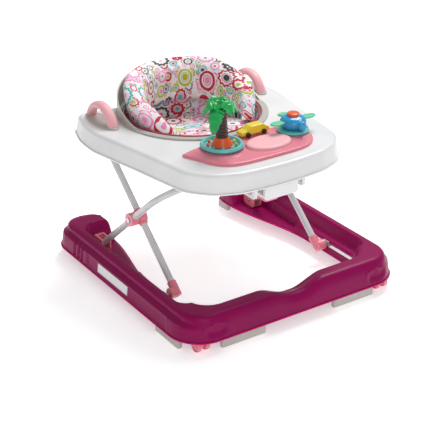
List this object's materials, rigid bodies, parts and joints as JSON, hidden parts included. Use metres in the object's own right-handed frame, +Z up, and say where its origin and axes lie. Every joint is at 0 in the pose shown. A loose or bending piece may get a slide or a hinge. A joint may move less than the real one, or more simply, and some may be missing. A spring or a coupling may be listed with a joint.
{
  "type": "baby walker",
  "caption": "Baby walker with a U-shaped rolling base, folding scissor frame, play tray with toys and a padded seat in a ring.",
  "frame": {"origin": "on the floor, under the centre of the base's bounding box", "axes": "+Z up, -Y towards the front of the walker, +X to the right of someone who looks along +Y"},
  "size_m": [0.61, 0.636, 0.4888],
  "materials": {
    "base_plastic": "glossy moulded polypropylene, magenta plum",
    "white_plastic": "glossy white moulded plastic",
    "grey_plastic": "light warm grey moulded plastic",
    "pink_plastic": "glossy rose pink plastic",
    "pink_soft": "satin light pink plastic",
    "tube_paint": "light grey powder coat",
    "steel": "bright steel",
    "pad_grey": "grey anti-slip rubber",
    "label": "blank printed label",
    "aqua_plastic": "aqua plastic",
    "orange_plastic": "orange plastic",
    "brown_plastic": "dark brown plastic",
    "green_plastic": "green plastic",
    "yellow_plastic": "yellow plastic",
    "blue_plastic": "blue plastic",
    "lime_plastic": "light green plastic",
    "bead_plastic": "mixed colour beads",
    "dark_plastic": "dark plastic",
    "board": "circuit board",
    "fabric_print": "white cotton with a printed pattern",
    "binding": "dark red woven binding"
  },
  "bodies": {
    "base": {"base_shell": "base_plastic", "anti_slip_pads": "pad_grey", "guide_rods": "steel", "rear_leg_brackets": "pink_plastic", "rear_leg_pins": "steel", "caster_sockets": "grey_plastic", "blank_label": "label"},
    "outer_legs": {"outer_leg_frame": "tube_paint", "hub_clamps_outer": "pink_plastic", "hub_screws": "steel", "guide_rollers": "grey_plastic"},
    "inner_legs": {"inner_legs": "tube_paint", "hub_clamps_inner": "pink_plastic", "foot_collars": "pink_plastic", "foot_pins": "steel"},
    "foot_slide": {"foot_sliders": "grey_plastic"},
    "tray": {"tray_shell": "white_plastic", "seat_ring": "grey_plastic", "handle_plates": "grey_plastic", "handle_grips": "pink_soft", "tray_pivot_blocks": "white_plastic", "tray_pivot_pins": "steel", "roller_guides": "white_plastic", "front_housing": "white_plastic", "latch_pin": "steel", "toy_panel": "pink_plastic", "battery_box": "white_plastic", "battery_cover": "white_plastic", "batteries": "steel", "circuit_board": "board", "speaker": "dark_plastic", "palm_dish": "aqua_plastic", "dish_beads": "bead_plastic", "plane_dish": "aqua_plastic", "seat_sling": "fabric_print", "seat_cushion": "fabric_print", "seat_binding": "binding", "seat_back_pad": "fabric_print"},
    "latch": {"latch_lever": "pink_plastic"},
    "music": {"music_button": "pink_soft"},
    "palm": {"palm_base": "orange_plastic", "palm_trunk": "brown_plastic", "palm_leaves": "green_plastic"},
    "car": {"car_body": "yellow_plastic", "car_wheels": "dark_plastic"},
    "plane": {"plane_body": "blue_plastic", "plane_wings": "lime_plastic", "plane_cap": "orange_plastic"},
    "caster_front_left": {"caster_fork_front_left": "pink_plastic", "caster_axle_front_left": "steel"},
    "wheels_front_left": {"caster_wheels_front_left": "pink_plastic"},
    "caster_front_right": {"caster_fork_front_right": "pink_plastic", "caster_axle_front_right": "steel"},
    "wheels_front_right": {"caster_wheels_front_right": "pink_plastic"},
    "caster_rear_left": {"caster_fork_rear_left": "pink_plastic", "caster_axle_rear_left": "steel"},
    "wheels_rear_left": {"caster_wheels_rear_left": "pink_plastic"},
    "caster_rear_right": {"caster_fork_rear_right": "pink_plastic", "caster_axle_rear_right": "steel"},
    "wheels_rear_right": {"caster_wheels_rear_right": "pink_plastic"}
  },
  "joints": [
    {"name": "fold", "type": "hinge", "parent": "base", "child": "outer_legs", "pos_m": [0, 0.194, 0.048], "axis": [1, 0, 0], "range_deg": [-4, 32.5]},
    {"name": "leg_cross", "type": "hinge", "parent": "outer_legs", "child": "inner_legs", "pos_m": [0, 0.042, 0.177], "axis": [1, 0, 0], "range_deg": [-65.2, 8.2]},
    {"name": "tray_level", "type": "hinge", "parent": "inner_legs", "child": "tray", "pos_m": [0, 0.194, 0.306], "axis": [1, 0, 0], "range_deg": [-4.1, 32.7]},
    {"name": "foot_level", "type": "hinge", "parent": "inner_legs", "child": "foot_slide", "pos_m": [0, -0.11, 0.048], "axis": [1, 0, 0], "range_deg": [-4.1, 32.7]},
    {"name": "latch_pull", "type": "hinge", "parent": "tray", "child": "latch", "pos_m": [-0.022, -0.158, 0.2795], "axis": [1, 0, 0], "range_deg": [0, 16], "stiffness_Nm_per_rad": 0.4, "springref_deg": -20.05},
    {"name": "music_press", "type": "slide", "parent": "tray", "child": "music", "axis": [0, 0, -1], "range_m": [0, 0.0028], "stiffness_N_per_m": 600, "springref_m": -0.002},
    {"name": "palm_turn", "type": "hinge", "parent": "tray", "child": "palm", "pos_m": [-0.072, -0.1, 0.38], "axis": [0, 0, 1], "continuous": true},
    {"name": "car_slide", "type": "slide", "parent": "tray", "child": "car", "axis": [1, 0, 0], "range_m": [-0.008, 0.008]},
    {"name": "plane_spin", "type": "hinge", "parent": "tray", "child": "plane", "pos_m": [0.118, -0.111, 0.39], "axis": [0, 0, 1], "continuous": true},
    {"name": "swivel_front_left", "type": "hinge", "parent": "base", "child": "caster_front_left", "pos_m": [-0.253, -0.279, 0.03], "axis": [0, 0, 1], "continuous": true},
    {"name": "roll_front_left", "type": "hinge", "parent": "caster_front_left", "child": "wheels_front_left", "pos_m": [-0.253, -0.287, 0.015], "axis": [1, 0, 0], "continuous": true},
    {"name": "swivel_front_right", "type": "hinge", "parent": "base", "child": "caster_front_right", "pos_m": [0.253, -0.279, 0.03], "axis": [0, 0, 1], "continuous": true},
    {"name": "roll_front_right", "type": "hinge", "parent": "caster_front_right", "child": "wheels_front_right", "pos_m": [0.253, -0.287, 0.015], "axis": [1, 0, 0], "continuous": true},
    {"name": "swivel_rear_left", "type": "hinge", "parent": "base", "child": "caster_rear_left", "pos_m": [-0.243, 0.266, 0.03], "axis": [0, 0, 1], "continuous": true},
    {"name": "roll_rear_left", "type": "hinge", "parent": "caster_rear_left", "child": "wheels_rear_left", "pos_m": [-0.243, 0.258, 0.015], "axis": [1, 0, 0], "continuous": true},
    {"name": "swivel_rear_right", "type": "hinge", "parent": "base", "child": "caster_rear_right", "pos_m": [0.243, 0.266, 0.03], "axis": [0, 0, 1], "continuous": true},
    {"name": "roll_rear_right", "type": "hinge", "parent": "caster_rear_right", "child": "wheels_rear_right", "pos_m": [0.243, 0.258, 0.015], "axis": [1, 0, 0], "continuous": true}
  ],
  "couplings": [
    {"joint": "leg_cross", "follows": "fold", "ratio": -2},
    {"joint": "tray_level", "follows": "fold", "ratio": 1},
    {"joint": "foot_level", "follows": "fold", "ratio": 1}
  ]
}
